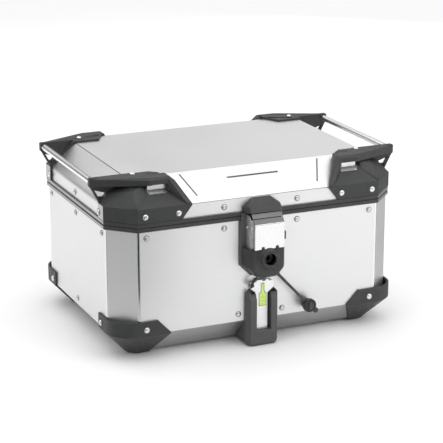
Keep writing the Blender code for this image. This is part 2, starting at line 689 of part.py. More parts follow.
def make_screws(lid_pivot):
    skin_face = HALF_D + BRACKET_SKIN
    for x_name, sx in (("left", -1), ("right", 1)):
        for y_name, sy in (("front", -1), ("rear", 1)):
            corner = f"{y_name}_{x_name}"
            for label, x in (("inner", 156), ("outer", 217)):
                item = screw("y", sy, (sx * x, 260.5), sy * skin_face)
                name_part(item, f"bracket_screw_{label}_{corner}", "plated", lid_pivot)
            item = screw("z", 1, (sx * 216, sy * 138), BRACKET_TOP, 4.6)
            name_part(item, f"bracket_screw_top_{corner}", "plated", lid_pivot)
            item = screw("y", sy, (sx * 217, 57.5), sy * (HALF_D + GUARD_SKIN))
            name_part(item, f"guard_screw_{corner}", "plated")


def main():
    clear_scene()
    lid = pivot_empty("lid_axis", (0, HINGE_Y, HINGE_Z))
    lever = pivot_empty("lever_axis", (0, LEVER_Y, LEVER_Z))
    key = pivot_empty("key_axis", (KEY_X, BOSS_Y, KEY_Z))
    strap = pivot_empty("strap_axis", STRAP_ROOT)
    slider = pivot_empty("slider_axis", (0, -209, 60))
    catch = pivot_empty("catch_axis", (0, -120, 3))
    make_tub()
    make_base_plate()
    make_guards()
    make_lid(lid)
    make_brackets(lid)
    make_striker(lid)
    make_hinges(lid)
    make_lock()
    make_latch(lever)
    make_key(key)
    make_dust_cap(strap)
    make_strap_anchor()
    make_release(slider, catch)
    make_screws(lid)


main()
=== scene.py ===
"""Looks for the riveted aluminium top case: bends, rivets, screws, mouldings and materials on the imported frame.

Shapes are worked out in millimetres and turned into metres when a mesh is made. X is the width, the lock is on
the -Y side and the lid's hinges are on the +Y side. Sizes come from the frame's boxes where a CAD node has them.
"""

import json
import math

import bmesh
import bpy
from mathutils import Matrix, Vector


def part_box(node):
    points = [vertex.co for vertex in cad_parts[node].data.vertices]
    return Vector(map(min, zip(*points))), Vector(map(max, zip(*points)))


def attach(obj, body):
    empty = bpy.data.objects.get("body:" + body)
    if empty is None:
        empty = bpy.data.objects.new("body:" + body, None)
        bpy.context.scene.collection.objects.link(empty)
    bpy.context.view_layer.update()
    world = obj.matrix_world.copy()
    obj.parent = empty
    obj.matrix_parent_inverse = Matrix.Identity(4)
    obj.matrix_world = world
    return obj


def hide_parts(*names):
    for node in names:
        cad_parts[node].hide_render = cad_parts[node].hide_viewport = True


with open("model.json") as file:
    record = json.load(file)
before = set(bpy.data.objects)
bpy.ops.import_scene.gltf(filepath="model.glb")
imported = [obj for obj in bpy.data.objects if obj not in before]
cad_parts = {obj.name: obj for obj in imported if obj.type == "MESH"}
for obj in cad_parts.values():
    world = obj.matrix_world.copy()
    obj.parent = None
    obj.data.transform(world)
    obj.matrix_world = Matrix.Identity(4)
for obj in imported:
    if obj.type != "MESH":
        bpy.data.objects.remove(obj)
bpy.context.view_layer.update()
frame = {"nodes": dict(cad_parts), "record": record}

MM = 0.001


def high(node):
    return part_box(node)[1] / MM


def low(node):
    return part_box(node)[0] / MM


# the sheet box, as the frame has it
HALF_W, HALF_D, TUB_TOP = high("lower_shell")
LID_TOP = high("lid_shell").z
LID_LOW = low("lid_shell").z
SHEET = 1.6
LID_CREASE = 273.0           # height where the lid's walls turn into its slopes
SLOPE_FRONT = 54.1           # how far the front slope runs inward
SIDE_EDGE = 229.0            # where the side slopes meet the flat top
BEND_WIDTH = 3.0             # of the sheet's upright bends
CREASE_REACH = 5.5           # how far the soft crease over the side walls runs each way
SLOPE_LINE_X = 206.0         # half length of the line between the front slope and the top
WALL_LINE_X = 228.0          # half length of the line under the front slope
BRACKET_SKIN = 3.8
BRACKET_SKIRT_TOP = 275.0    # the painted sheen on the brackets' side skirts ends here
RIM_FACE_AREA = 500.0        # the rims' side faces are larger than this, in mm2, and their edge strips smaller
GUARD_SKIN = 3.6

# the photograph's camera
CAMERA_TARGET = Vector((0.01165, 0.0, 0.16938))
CAMERA_DISTANCE = 3.1295
CAMERA_AZIMUTH = -23.81
CAMERA_ELEVATION = 16.97
CAMERA_LENS = 136.87

# brightness of the studio round the object, level with it and overhead
SKY_HORIZON = 0.0
SKY_ZENITH = 1.25

# the studio's size, in millimetres
FLOOR_HALF = 30000.0
BACKDROP_RADIUS = 28000.0
BACKDROP_HEIGHTS = (-500.0, 14000.0)
LIGHT_TARGET = Vector((0, 0, 0.15))


# ---------------------------------------------------------------- camera, floor and light

def direction(azimuth, elevation):
    """Unit vector from the object towards a place round it: azimuth 0 is -Y and 90 is +X."""
    turn = math.radians(azimuth)
    rise = math.radians(elevation)
    return Vector((math.sin(turn) * math.cos(rise), -math.cos(turn) * math.cos(rise), math.sin(rise)))


def aim(item, target):
    item.rotation_mode = "QUATERNION"
    item.rotation_quaternion = (target - item.location).to_track_quat("-Z", "Y")


def make_camera():
    data = bpy.data.cameras.new("camera")
    data.lens = CAMERA_LENS
    data.clip_start = 0.1
    data.clip_end = 50
    camera = bpy.data.objects.new("camera", data)
    bpy.context.scene.collection.objects.link(camera)
    camera.location = CAMERA_TARGET + direction(CAMERA_AZIMUTH, CAMERA_ELEVATION) * CAMERA_DISTANCE
    aim(camera, CAMERA_TARGET)
    bpy.context.scene.camera = camera


def soft_light(name, azimuth, elevation, distance, size, power):
    data = bpy.data.lights.new(name, "AREA")
    data.shape = "DISK"
    data.size = size
    data.energy = power
    light = bpy.data.objects.new(name, data)
    bpy.context.scene.collection.objects.link(light)
    light.location = LIGHT_TARGET + direction(azimuth, elevation) * distance
    aim(light, LIGHT_TARGET)


def glowing_sheet(bm, name, brightness):
    """Makes a staged sheet of even brightness that casts no light or shadow on the object."""
    material = bpy.data.materials.new(name)
    material.use_nodes = True
    tree = material.node_tree
    glow = tree.nodes.new("ShaderNodeEmission")
    glow.inputs["Strength"].default_value = brightness
    tree.links.new(glow.outputs["Emission"], tree.nodes["Material Output"].inputs["Surface"])
    sheet = finish_mesh(bm, name, [material])
    sheet.visible_diffuse = False
    sheet.visible_shadow = False
    sheet.visible_transmission = False
    return sheet


def grey_card(name, corners, brightness):
    """A card that the object's shiny surfaces mirror, as a photographer's flag; nothing else sees it."""
    bm = bmesh.new()
    bm.faces.new([bm.verts.new(corner) for corner in corners])
    glowing_sheet(bm, name, brightness).visible_camera = False


def make_backdrop():
    """Plain white wall far round the object, seen by the camera only."""
    bm = bmesh.new()
    skin_rings(bm, [ring("z", (0, 0), BACKDROP_RADIUS, height, 48) for height in BACKDROP_HEIGHTS], caps=False)
    glowing_sheet(bm, "backdrop", 1.0).visible_glossy = False


def upright_card(name, start, end, height, brightness):
    grey_card(name, [(*start, 1), (*end, 1), (*end, height), (*start, height)], brightness)


def make_studio():
    scene = bpy.context.scene
    scene.view_settings.view_transform = "Standard"
    world = bpy.data.worlds.new("studio")
    scene.world = world
    world.use_nodes = True
    tree = world.node_tree
    place = tree.nodes.new("ShaderNodeTexCoord")
    split = tree.nodes.new("ShaderNodeSeparateXYZ")
    tree.links.new(place.outputs["Generated"], split.inputs["Vector"])
    rise = spread(tree, split.outputs["Z"], SKY_HORIZON, SKY_ZENITH, 0.0, 0.8)
    background = tree.nodes["Background"]
    tree.links.new(rise, background.inputs["Strength"])
    background.inputs["Color"].default_value = (1.0, 1.0, 1.0, 1.0)

    bm = bmesh.new()
    bmesh.ops.create_grid(bm, x_segments=1, y_segments=1, size=FLOOR_HALF)
    floor = finish_mesh(bm, "floor", [FLOOR])
    make_backdrop()

    soft_light("right_side", 62, 12, 2.2, 1.2, 5.5)
    soft_light("rear_right", 140, 12, 3.0, 2.0, 3)
    soft_light("left_high", -110, 50, 2.4, 1.4, 1.8)
    soft_light("rear_high", -160, 50, 2.4, 1.4, 6.5)
    soft_light("front_left_high", -60, 50, 2.4, 1.4, 2)
    soft_light("front_high", 30, 42, 2.4, 1.4, 8)
    upright_card("card_left", (-620, -520), (-620, -60), 520, 0.44)
    upright_card("card_front", (-620, -520), (-60, -520), 360, 0.42)
    upright_card("card_corner", (-430, -470), (-250, -500), 300, 0.01)
    upright_card("card_right", (560, -240), (560, 420), 520, 0.45)
    grey_card("card_floor_right", [(330, -240, 1), (560, -240, 1), (560, 420, 1), (330, 420, 1)], 0.55)
    grey_card("card_floor", [(-620, -520, 1), (-620, -60, 1), (-320, -130, 1), (-262, -215, 1), (-60, -520, 1)], 0.6)


# ---------------------------------------------------------------- materials

def principled(name, color, roughness, metallic=0.0, **inputs):
    material = bpy.data.materials.new(name)
    material.use_nodes = True
    shader = material.node_tree.nodes["Principled BSDF"]
    shader.inputs["Base Color"].default_value = (*color, 1.0)
    shader.inputs["Roughness"].default_value = roughness
    shader.inputs["Metallic"].default_value = metallic
    for key, value in inputs.items():
        shader.inputs[key.replace("_", " ")].default_value = value
    return material, material.node_tree, shader


def noise(tree, scale, detail=3.0, stretch=(1.0, 1.0, 1.0)):
    """Noise in the object's own metres: scale is features per metre, stretch multiplies it per axis."""
    place = tree.nodes.new("ShaderNodeTexCoord")
    mapping = tree.nodes.new("ShaderNodeMapping")
    mapping.inputs["Scale"].default_value = stretch
    texture = tree.nodes.new("ShaderNodeTexNoise")
    texture.inputs["Scale"].default_value = scale
    texture.inputs["Detail"].default_value = detail
    tree.links.new(place.outputs["Object"], mapping.inputs["Vector"])
    tree.links.new(mapping.outputs["Vector"], texture.inputs["Vector"])
    return texture.outputs["Fac"]


def spread(tree, factor, to_low, to_high, from_low=0.35, from_high=0.65):
    """Maps a noise value to a range."""
    node = tree.nodes.new("ShaderNodeMapRange")
    node.inputs["From Min"].default_value = from_low
    node.inputs["From Max"].default_value = from_high
    node.inputs["To Min"].default_value = to_low
    node.inputs["To Max"].default_value = to_high
    tree.links.new(factor, node.inputs["Value"])
    return node.outputs["Result"]


def tint(tree, shader, factor, dark, light):
    """Varies the base colour between two tones."""
    node = tree.nodes.new("ShaderNodeMix")
    node.data_type = "RGBA"
    node.inputs["A"].default_value = (*dark, 1.0)
    node.inputs["B"].default_value = (*light, 1.0)
    tree.links.new(factor, node.inputs["Factor"])
    tree.links.new(node.outputs["Result"], shader.inputs["Base Color"])


def relief(tree, shader, height, strength, depth, under=None):
    """Bump from a height value; depth is in metres. Returns the normal, so that a finer bump can lie on it."""
    node = tree.nodes.new("ShaderNodeBump")
    node.inputs["Strength"].default_value = strength
    node.inputs["Distance"].default_value = depth
    tree.links.new(height, node.inputs["Height"])
    if under is not None:
        tree.links.new(under, node.inputs["Normal"])
    tree.links.new(node.outputs["Normal"], shader.inputs["Normal"])
    return node.outputs["Normal"]


def brushed_sheet(name, stretch, shade=1.0):
    """Anodised aluminium sheet: fine brush lines, faint clouding and slight waviness of the panel."""
    material, tree, shader = principled(name, (0.80, 0.80, 0.80), 0.40, 0.95)
    # shade below 1 darkens the sheet's colour; the bevel uses it as painted shade
    dark, light = (tuple(value * shade for value in tone) for tone in ((0.785, 0.787, 0.790), (0.820, 0.821, 0.823)))
    lines = noise(tree, 1.0, 5.0, stretch)
    cloud = noise(tree, 7.0, 2.0)
    tint(tree, shader, spread(tree, lines, 0.0, 1.0, 0.3, 0.7), dark, light)
    tree.links.new(spread(tree, cloud, 0.40, 0.43), shader.inputs["Roughness"])
    wave = relief(tree, shader, noise(tree, 4.0, 1.0), 0.06, 0.0012)
    relief(tree, shader, lines, 0.15, 0.00002, wave)
    return material


def moulded(name, dark, light, roughness=0.48, grain=1500.0, sheen=0.0):
    """Glass-filled plastic: spark-eroded grain over a faint unevenness, with roughness that varies a little."""
    material, tree, shader = principled(name, dark, roughness, Sheen_Weight=sheen, Sheen_Roughness=0.3)
    cloud = noise(tree, 30.0, 3.0)
    tint(tree, shader, spread(tree, cloud, 0.0, 1.0), dark, light)
    tree.links.new(spread(tree, noise(tree, 180.0, 2.0), roughness - 0.06, roughness + 0.08),
                   shader.inputs["Roughness"])
    soft = relief(tree, shader, noise(tree, 60.0, 2.0), 0.15, 0.0004)
    relief(tree, shader, noise(tree, grain, 4.0), 0.35, 0.00012, soft)
    return material


def metal(name, color, roughness, stretch):
    """Plated or machined metal with fine directional marks."""
    material, tree, shader = principled(name, color, roughness, 1.0)
    lines = noise(tree, 1.0, 3.0, stretch)
    dark = tuple(value * 0.98 for value in color)
    tint(tree, shader, spread(tree, lines, 0.0, 1.0), dark, color)
    tree.links.new(spread(tree, noise(tree, 60.0, 3.0), roughness * 0.94, roughness * 1.08),
                   shader.inputs["Roughness"])
    relief(tree, shader, lines, 0.05, 0.00001)
    return material


def rubber(name, color, roughness=0.62):
    material, tree, shader = principled(name, color, roughness)
    tint(tree, shader, spread(tree, noise(tree, 60.0, 3.0), 0.0, 1.0), color,
         tuple(value * 1.5 + 0.004 for value in color))
    relief(tree, shader, noise(tree, 900.0, 3.0), 0.3, 0.0001)
    return material


def lime_plastic(name, shade=1.0):
    """Tinted translucent plastic, moulded with faint flow marks."""
    dark, light = (tuple(value * shade for value in tone) for tone in ((0.60, 0.80, 0.12), (0.82, 0.96, 0.26)))
    material, tree, shader = principled(name, (0.70, 0.90, 0.16), 0.22, Subsurface_Weight=0.25,
                                        Subsurface_Scale=0.002, Coat_Weight=0.4)
    tint(tree, shader, spread(tree, noise(tree, 320.0, 2.0), 0.0, 1.0), dark, light)
    relief(tree, shader, noise(tree, 260.0, 2.0), 0.2, 0.0001)
    return material


def floor_surface(name):
    material, tree, shader = principled(name, (0.97, 0.97, 0.97), 0.7)
    tint(tree, shader, spread(tree, noise(tree, 3.0, 2.0), 0.0, 1.0), (0.965, 0.965, 0.965), (0.975, 0.975, 0.975))
    return material


FLOOR = floor_surface("studio_floor")
SHEET_WALL = brushed_sheet("aluminium_wall", (9.0, 9.0, 2600.0))
# the downward bevel's sheet darkened to 0.58: painted shade from the shadowed floor below it
SHEET_BEVEL_SHADE = brushed_sheet("aluminium_bevel_painted_shade", (9.0, 9.0, 2600.0), 0.58)
SHEET_TOP = brushed_sheet("aluminium_top", (9.0, 2600.0, 9.0))
BEND = metal("aluminium_bend", (0.80, 0.80, 0.80), 0.14, (40.0, 40.0, 900.0))
# dark grey for the walls of cut lines and pockets: painted shade in grooves
GROOVE_SHADOW = moulded("groove_shadow", (0.09, 0.09, 0.092), (0.13, 0.13, 0.132))
MOULDING = moulded("dark_moulding", (0.030, 0.031, 0.032), (0.035, 0.036, 0.037))
# lighter copy of the dark moulding: painted light on the backplate's lit face; the release housing is simply lighter
LIGHTER_MOULDING_AND_PAINTED_LIGHT = moulded("lighter_moulding_and_painted_light", (0.070, 0.071, 0.072), (0.080, 0.081, 0.082))
RIM = moulded("rim_profile", (0.026, 0.027, 0.028), (0.036, 0.037, 0.038), 0.34, 2200.0, 1.0)
RUBBER = rubber("black_rubber", (0.012, 0.012, 0.013), 0.5)
STRAP = rubber("strap_rubber", (0.036, 0.036, 0.037), 0.5)
RAIL = metal("rail_tube", (0.90, 0.90, 0.90), 0.20, (900.0, 6.0, 900.0))
PLATED = metal("bright_plating", (0.84, 0.84, 0.84), 0.26, (60.0, 60.0, 900.0))
# near-black metal for the washers under screws and the lever's fold gaps: painted shade
GAP_SHADE = metal("painted_gap_shade", (0.10, 0.10, 0.105), 0.35, (300.0, 300.0, 300.0))
# dark grey metal: the hood's own grey, and painted shade on the lever's slanted band
HOOD_GREY_AND_BAND_SHADE = metal("hood_grey_and_lever_band_shade", (0.16, 0.16, 0.163), 0.42, (20.0, 300.0, 300.0))
# near-black steel: the slider's hook, and painted shade in the key bore and on the key barrel
DARK_STEEL_AND_BORE_SHADE = metal("dark_steel_and_bore_shade", (0.05, 0.05, 0.052), 0.45, (300.0, 300.0, 300.0))
SLIDER = metal("slider_plating", (0.88, 0.88, 0.89), 0.40, (40.0, 40.0, 300.0))
CHEEK = metal("cheek_plating", (0.85, 0.85, 0.85), 0.48, (40.0, 40.0, 500.0))
# dark grey under the rivets: painted contact shadow
RIVET_SHADOW_RING = metal("rivet_painted_shadow_ring", (0.20, 0.20, 0.205), 0.35, (40.0, 40.0, 40.0))
RIVET_METAL = metal("rivet_dome", (0.66, 0.66, 0.66), 0.24, (60.0, 60.0, 60.0))
STEEL = metal("plain_steel", (0.50, 0.51, 0.52), 0.36, (600.0, 40.0, 40.0))
# lighter grey metal on the rims' side faces: painted sheen from the grazing side light
RIM_SIDE_PAINTED_SHEEN = metal("rim_side_painted_sheen", (0.40, 0.40, 0.405), 0.42, (9.0, 9.0, 900.0))
# lighter grey metal on the brackets' side skirts: painted sheen from the grazing side light
SKIRT_SIDE_PAINTED_SHEEN = metal("skirt_side_painted_sheen", (0.55, 0.55, 0.555), 0.45, (500.0, 500.0, 500.0))
LIME = lime_plastic("lime_insert")
LIME_EDGE = lime_plastic("lime_border", 0.55)


# ---------------------------------------------------------------- mesh helpers

def finish_mesh(bm, name, materials, sharp=32.0):
    """Turns a bmesh in millimetres into an object in metres with its materials."""
    bmesh.ops.recalc_face_normals(bm, faces=bm.faces)
    bmesh.ops.scale(bm, vec=(MM, MM, MM), verts=bm.verts)
    mesh = bpy.data.meshes.new(name)
    bm.to_mesh(mesh)
    bm.free()
    for material in materials:
        mesh.materials.append(material)
    mesh.shade_smooth()
    mesh.set_sharp_from_angle(angle=math.radians(sharp))
    item = bpy.data.objects.new(name, mesh)
    bpy.context.scene.collection.objects.link(item)
    return item


def cad_mesh(node):
    """A CAD node's shape as a clean bmesh in millimetres: vertices merged, flat faces whole."""
    bm = bmesh.new()
    bm.from_mesh(frame["nodes"][node].data)
    bmesh.ops.scale(bm, vec=(1 / MM,) * 3, verts=bm.verts)
    bmesh.ops.remove_doubles(bm, verts=bm.verts, dist=0.004)
    bmesh.ops.dissolve_degenerate(bm, dist=0.01, edges=bm.edges)
    bmesh.ops.dissolve_limit(bm, angle_limit=math.radians(0.6), verts=bm.verts, edges=bm.edges)
    for face in bm.faces:
        face.material_index = 0
    return bm


def round_edges(bm, width, low_angle=25.0, high_angle=180.0, segments=3, choose=None):
    """Rounds the edges whose faces meet between two angles and returns the new faces."""
    bmesh.ops.recalc_face_normals(bm, faces=bm.faces)
    edges = []
    for edge in bm.edges:
        if len(edge.link_faces) != 2:
            continue
        turn = math.degrees(edge.calc_face_angle(0.0))
        if low_angle <= turn <= high_angle and (choose is None or choose(edge)):
            edges.append(edge)
    result = bmesh.ops.bevel(bm, geom=edges, offset=width, offset_type="OFFSET", segments=segments, profile=0.5,
                             affect="EDGES", clamp_overlap=True)
    bm.normal_update()
    return result["faces"]


def place_piece(item, body, slot, *nodes):
    """Hangs a piece on its body and hides the CAD nodes it stands for; slot is not used."""
    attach(item, body)
    if nodes:
        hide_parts(*nodes)
    weighted = item.modifiers.new("weighted_normals", "WEIGHTED_NORMAL")
    weighted.keep_sharp = True


def rounded_copy(node, name, body, slot, material, width):
    bm = cad_mesh(node)
    round_edges(bm, width)
    place_piece(finish_mesh(bm, name, [material]), body, slot, node)


def place_on(axis, along, a, b):
    """A point from its coordinate along an axis and the two others, in order."""
    return Vector({"x": (along, a, b), "y": (a, along, b), "z": (a, b, along)}[axis])


def ring(axis, centre, radius, along, sides):
    """Circle of points round an axis: centre is the two other coordinates, in order."""
    turns = (2 * math.pi * i / sides for i in range(sides))
    return [place_on(axis, along, centre[0] + radius * math.cos(turn), centre[1] + radius * math.sin(turn))
            for turn in turns]


def skin_rings(bm, rings, caps=True, cyclic=False):
    """Faces between rings of equal length, with end caps if asked."""
    rows = [[bm.verts.new(point) for point in points] for points in rings]
    pairs = list(zip(rows, rows[1:]))
    if cyclic:
        pairs.append((rows[-1], rows[0]))
    for row, following in pairs:
        for i in range(len(row)):
            j = (i + 1) % len(row)
            bm.faces.new((row[i], row[j], following[j], following[i]))
    if caps and not cyclic:
        bm.faces.new(rows[0])
        bm.faces.new(rows[-1])


def revolve(bm, profile, place, sides=28, index=0):
    """Adds a turned shape: profile is (radius, height) from the seat up, place maps its axis to the world."""
    rows = []
    for radius, height in profile:
        rows.append([place @ point for point in ring("z", (0, 0), max(radius, 0.01), height, sides)])
    before = len(bm.faces)
    skin_rings(bm, rows)
    bm.faces.ensure_lookup_table()
    paint(bm.faces[before:], index)


def plate(bm, axis, outline, start, end, index=0):
    """Adds an extrusion of a closed outline: (y, z) along x, (x, z) along y or (x, y) along z."""
    rows = [[place_on(axis, along, a, b) for a, b in outline] for along in (start, end)]
    before = len(bm.faces)
    skin_rings(bm, rows)
    bm.faces.ensure_lookup_table()
    paint(bm.faces[before:], index)


def rounded_outline(corners, radius, steps=5):
    """An outline with its corners turned into arcs; a corner may carry a radius of its own."""
    points = []
    count = len(corners)
    for i in range(count):
        before, here, after = (Vector(corners[(i + k) % count][:2]) for k in (-1, 0, 1))
        own = corners[i][2] if len(corners[i]) > 2 else radius
        to_before = (before - here).normalized()
        to_after = (after - here).normalized()
        half = to_before.angle(to_after) / 2
        reach = min(own / math.tan(half), (before - here).length * 0.49, (after - here).length * 0.49)
        if reach < 0.05:
            points.append(tuple(here))
            continue
        first = here + to_before * reach
        last = here + to_after * reach
        for k in range(steps + 1):
            t = k / steps
            points.append(tuple(first * (1 - t) ** 2 + here * 2 * t * (1 - t) + last * t ** 2))
    return points


def paint(faces, index):
    for face in faces:
        face.material_index = index


def standing(point, normal):
    """Matrix that puts a shape's own +Z along a normal at a point."""
    turn = Vector(normal).to_track_quat("Z", "Y").to_matrix().to_4x4()
    return Matrix.Translation(Vector(point)) @ turn


def boolean(target, tool, operation="DIFFERENCE"):
    """Applies one exact boolean; faces cut by the tool keep the tool's material."""
    modifier = target.modifiers.new("boolean", "BOOLEAN")
    modifier.operation = operation
    modifier.solver = "EXACT"
    modifier.material_mode = "TRANSFER"
    modifier.object = tool
    graph = bpy.context.evaluated_depsgraph_get()
    mesh = bpy.data.meshes.new_from_object(target.evaluated_get(graph))
    target.modifiers.clear()
    target.data = mesh
    bpy.data.objects.remove(tool, do_unlink=True)


def reopened(item):
    """Takes an object's shape back as a bmesh in millimetres."""
    bm = bmesh.new()
    bm.from_mesh(item.data)
    bmesh.ops.scale(bm, vec=(1 / MM,) * 3, verts=bm.verts)
    bpy.data.objects.remove(item, do_unlink=True)
    bmesh.ops.dissolve_limit(bm, angle_limit=math.radians(0.6), verts=bm.verts, edges=bm.edges)
    return bm


# ---------------------------------------------------------------- sheet body

def slope_point(x, share, lift=0.0):
    """A point on the lid's front slope: share is 0 at the crease and 1 at the flat top."""
    rise = LID_TOP - LID_CREASE
    length = math.hypot(SLOPE_FRONT, rise)
    return Vector((x, -HALF_D + SLOPE_FRONT * share - rise / length * lift,
                   LID_CREASE + rise * share + SLOPE_FRONT / length * lift))


def groove(bm, start, end, normal, width, depth):
    """Adds a wedge along a line on a surface, to be cut out of it as a pressed line."""
    along = (end - start).normalized()
    side = along.cross(normal).normalized() * (width / 2)
    up = normal.normalized()
    rows = [[point - side + up * 0.5, point + side + up * 0.5, point + side * 0.35 - up * depth,
             point - side * 0.35 - up * depth] for point in (start, end)]
    skin_rings(bm, rows)


def upright(edge):
    """An outer edge between two walls."""
    start, end = edge.verts
    return abs(start.co.z - end.co.z) > 0.98 * edge.calc_length()


def make_tub():
    bm = cad_mesh("lower_shell")
    paint(round_edges(bm, BEND_WIDTH, 20, 75, 4, upright), 1)
    round_edges(bm, 2.4, 20, 60)
    # downward-facing bevel faces take the darkened sheet: painted shade
    paint([face for face in bm.faces if -0.95 < face.normal.z < -0.3], 2)
    place_piece(finish_mesh(bm, "tub_panel", [SHEET_WALL, BEND, SHEET_BEVEL_SHADE]), "case", "aluminium_panel",
                "lower_shell")


def soften_side_creases(lid):
    """Cuts the creases over the side walls round."""
    crease = Vector((HALF_W, LID_CREASE))
    below = crease - Vector((0, CREASE_REACH))
    above = crease + (Vector((SIDE_EDGE, LID_TOP)) - crease).normalized() * CREASE_REACH
    arc = [below * (1 - t) ** 2 + crease * 2 * t * (1 - t) + above * t ** 2 for t in (k / 8 for k in range(9))]
    for side in (-1, 1):
        tool = bmesh.new()
        plate(tool, "y", [(side * x, z) for x, z in arc + [crease + Vector((4, 4))]], -165, 165)
        boolean(lid, finish_mesh(tool, "soft_crease", [SHEET_WALL]))


def press_lines(lid):
    """Cuts the pressed lines of the front slope and the lines along the creases; their cut walls take the dark groove
    material, painted shade in the lines.
    """
    slope = (slope_point(0, 0.5, 1.0) - slope_point(0, 0.5)).normalized()
    lines = []
    for side in (-1, 1):
        lines.append((slope_point(side * 133, 0.92), slope_point(side * 115, 0.22), slope, 3.2, 1.1))
        outward = Vector((side, 0, 1))
        edge = side * SIDE_EDGE
        lines.append((Vector((edge, -122, LID_TOP)), Vector((edge, 132, LID_TOP)), outward, 2.2, 1.3))
    lines.append((slope_point(-49, 0.66), slope_point(49, 0.66), slope, 4.2, 1.3))
    lines.append((slope_point(-SLOPE_LINE_X, 1.0), slope_point(SLOPE_LINE_X, 1.0), Vector((0, -0.4, 1)), 1.0, 0.5))
    lines.append((slope_point(-WALL_LINE_X, 0.0), slope_point(WALL_LINE_X, 0.0), Vector((0, -1, 0.7)), 1.7, 0.8))
    for start, end, normal, width, depth in lines:
        tool = bmesh.new()
        groove(tool, start, end, normal, width, depth)
        boolean(lid, finish_mesh(tool, "pressed_line", [GROOVE_SHADOW]))


def make_lid():
    bm = cad_mesh("lid_shell")
    paint([face for face in bm.faces if abs(face.normal.z) > 0.95], 1)
    paint(round_edges(bm, BEND_WIDTH, 20, 75, 4, upright), 2)
    round_edges(bm, 1.2, 15, 75)
    lid = finish_mesh(bm, "lid_panel", [SHEET_WALL, SHEET_TOP, BEND])
    soften_side_creases(lid)
    press_lines(lid)
    place_piece(lid, "lid", "aluminium_panel", "lid_shell")


SEAM_ROW_Z = 221.7           # heights of the rivet rows
BEVEL_ROW_Z = 60.0
SKIRT_ROW_Z = 260.0
RIVET = [(4.6, 0.2), (4.6, 0.7), (4.3, 1.5), (3.5, 2.2), (2.4, 2.6), (1.6, 2.65), (1.5, 2.0), (0.4, 1.9)]
RIVET_SHADOW_DISC = [(5.4, -0.4), (5.4, 0.3), (0.4, 0.35)]


def make_rivets():
    """Domed pop rivets along the seam, over the bevel and on the lid's skirt, each on a dark disc of painted contact
    shadow.
    """
    def rows(name, body, places):
        bm = bmesh.new()
        for point, normal in places:
            revolve(bm, RIVET, standing(point, normal))
            revolve(bm, RIVET_SHADOW_DISC, standing(point, normal), index=1)
        place_piece(finish_mesh(bm, name, [RIVET_METAL, RIVET_SHADOW_RING]), body, "bright_plating")

    tub = []
    lid = []
    for sign in (-1, 1):
        face = Vector((0, sign, 0))
        for x in (-214, -70, 70, 214):
            tub.append(((x, sign * HALF_D, SEAM_ROW_Z), face))
        for x in (-42.5, 42.5):
            tub.append(((x, sign * HALF_D, BEVEL_ROW_Z), face))
        for x in (-70, 70):
            lid.append(((x, sign * HALF_D, SKIRT_ROW_Z), face))
        side = Vector((sign, 0, 0))
        for y in (-135, 0, 135):
            tub.append(((sign * HALF_W, y, SEAM_ROW_Z), side))
        tub.append(((sign * HALF_W, 0, BEVEL_ROW_Z), side))
        lid.append(((sign * HALF_W, 0, SKIRT_ROW_Z), side))
    rows("tub_rivets", "case", tub)
    rows("lid_rivets", "lid", lid)


# ---------------------------------------------------------------- screws

SCREW_DOME = [(5.2, 0.0), (5.2, 0.5), (4.9, 1.3), (4.2, 2.0), (3.2, 2.45), (2.3, 2.6), (2.1, 2.4), (2.0, 2.2)]
BRACKET_SIDE_SCREW = (133.0, 259.0)    # y and z of the screws on the side faces
GUARD_SIDE_SCREW = (131.0, 57.0)


def add_screw(bm, point, normal, size=1.0):
    """Domed screw with a hexagon socket, on a thin dark washer that paints the shadow round the screw."""
    place = standing(point, normal)
    revolve(bm, [(6.6 * size, -0.2), (6.6 * size, 0.25), (5.4 * size, 0.35), (0, 0.35)], place, 32, 1)
    revolve(bm, [(radius * size, height + 0.3) for radius, height in SCREW_DOME], place, 32)
    revolve(bm, [(2.0 * size, 2.46), (2.0 * size, 2.56), (0, 2.56)], place, 6, 2)


def make_screws():
    for end, sy in (("front", -1), ("rear", 1)):
        for side, sx in (("left", -1), ("right", 1)):
            corner = f"{end}_{side}"
            upper = bmesh.new()
            nodes = []
            for label in ("inner", "outer", "top"):
                node = f"bracket_screw_{label}_{corner}"
                nodes.append(node)
                middle = (low(node) + high(node)) / 2
                if label == "top":
                    add_screw(upper, (middle.x, middle.y, low(node).z - 0.3), (0, 0, 1), 0.9)
                else:
                    add_screw(upper, (middle.x, sy * (HALF_D + BRACKET_SKIN), middle.z), (0, sy, 0))
            y, z = BRACKET_SIDE_SCREW
            add_screw(upper, (sx * (HALF_W + BRACKET_SKIN), sy * y, z), (sx, 0, 0))
            place_piece(finish_mesh(upper, f"bracket_screws_{corner}", [PLATED, GAP_SHADE, RIVET_METAL]), "lid",
                        "bright_plating", *nodes)

            lower = bmesh.new()
            node = f"guard_screw_{corner}"
            middle = (low(node) + high(node)) / 2
            add_screw(lower, (middle.x, sy * (HALF_D + GUARD_SKIN), middle.z), (0, sy, 0))
            y, z = GUARD_SIDE_SCREW
            add_screw(lower, (sx * (HALF_W + GUARD_SKIN), sy * y, z), (sx, 0, 0))
            place_piece(finish_mesh(lower, f"guard_screws_{corner}", [PLATED, GAP_SHADE, RIVET_METAL]), "case",
                        "bright_plating", node)


# ---------------------------------------------------------------- mouldings

def painted_sheen_side(face):
    """True for a face on the outside of a side wall, where the lighter grey painted sheen goes."""
    middle = face.calc_center_median()
    return abs(face.normal.x) > 0.99 and face.normal.x * middle.x > 0 and abs(middle.x) > HALF_W


def recess_top(bm):
    """Sinks the middle of the bracket's flat top a little, inside a raised border."""
    top = max(bm.faces, key=lambda face: face.calc_area() if face.normal.z > 0.99 else 0)
    bmesh.ops.inset_region(bm, faces=[top], thickness=3.0, depth=0, use_even_offset=True)
    bmesh.ops.inset_region(bm, faces=[top], thickness=0.5, depth=0, use_even_offset=True)
    for vert in top.verts:
        vert.co.z -= 0.9


